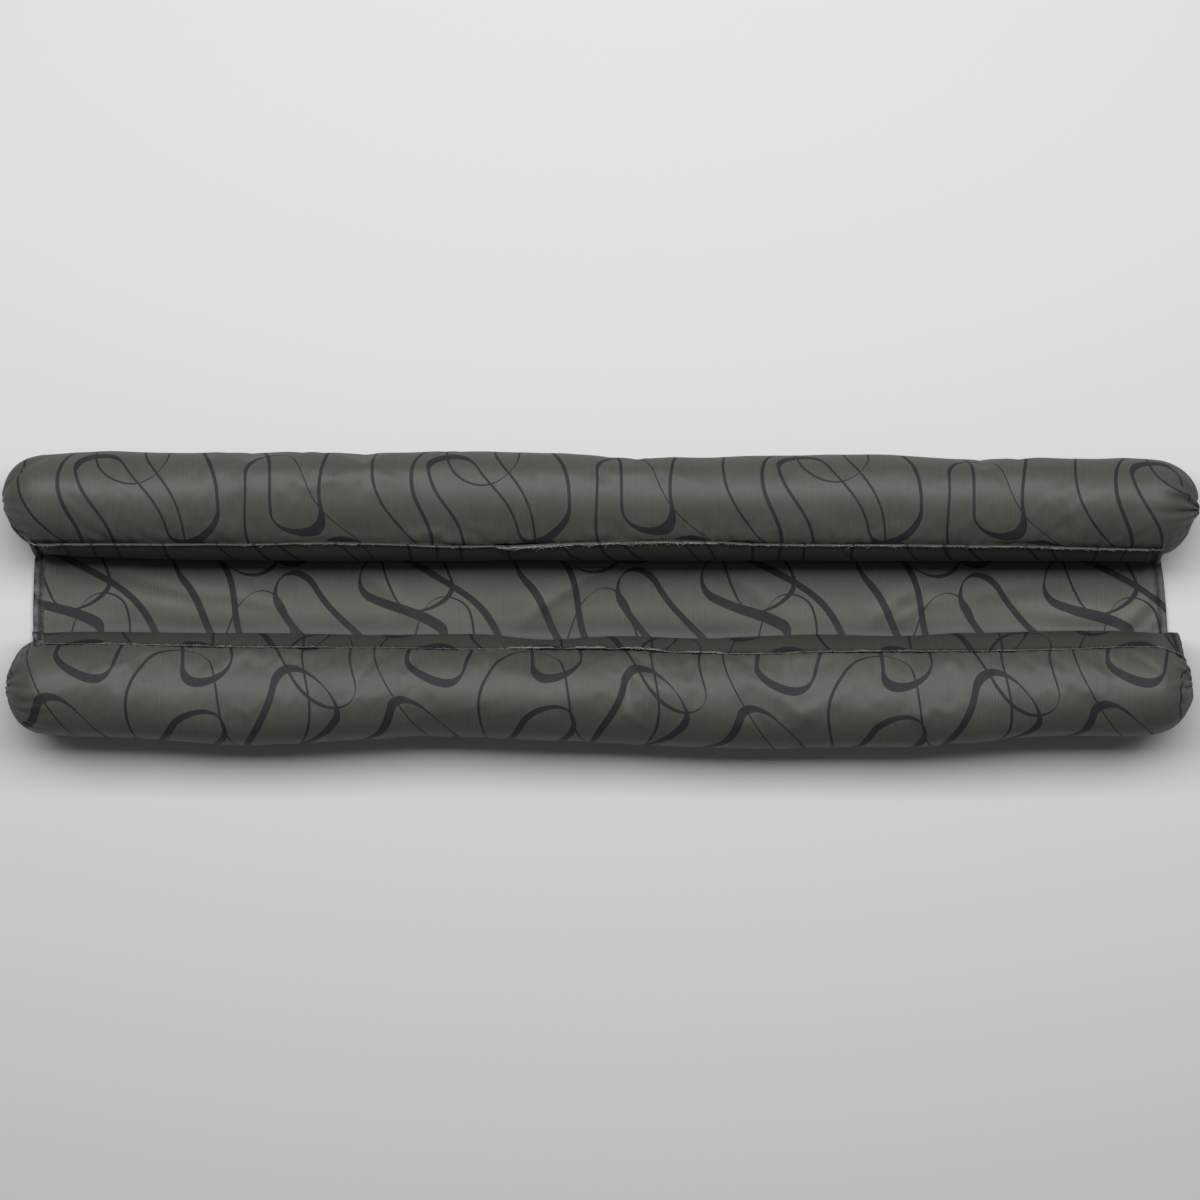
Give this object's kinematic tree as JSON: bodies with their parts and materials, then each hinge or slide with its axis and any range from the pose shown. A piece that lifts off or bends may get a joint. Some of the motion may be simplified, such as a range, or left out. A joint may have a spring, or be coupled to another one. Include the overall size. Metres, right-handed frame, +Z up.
{
  "type": "draught excluder",
  "caption": "Double draught excluder: filled satin rolls joined by a thin cloth panel that lies on the floor and runs under a door leaf.",
  "frame": {"origin": "on the floor, under the middle of the whole object", "axes": "+X along the rolls, +Y from the front roll to the back roll, +Z up"},
  "size_m": [0.9, 0.2239, 0.0812],
  "materials": {
    "roll_satin": "printed polyester satin, soft sheen",
    "panel_satin": "printed polyester satin, single layer, soft sheen"
  },
  "bodies": {
    "root": {"roll_back": "roll_satin", "roll_front": "roll_satin", "door_panel": "panel_satin"}
  },
  "joints": []
}
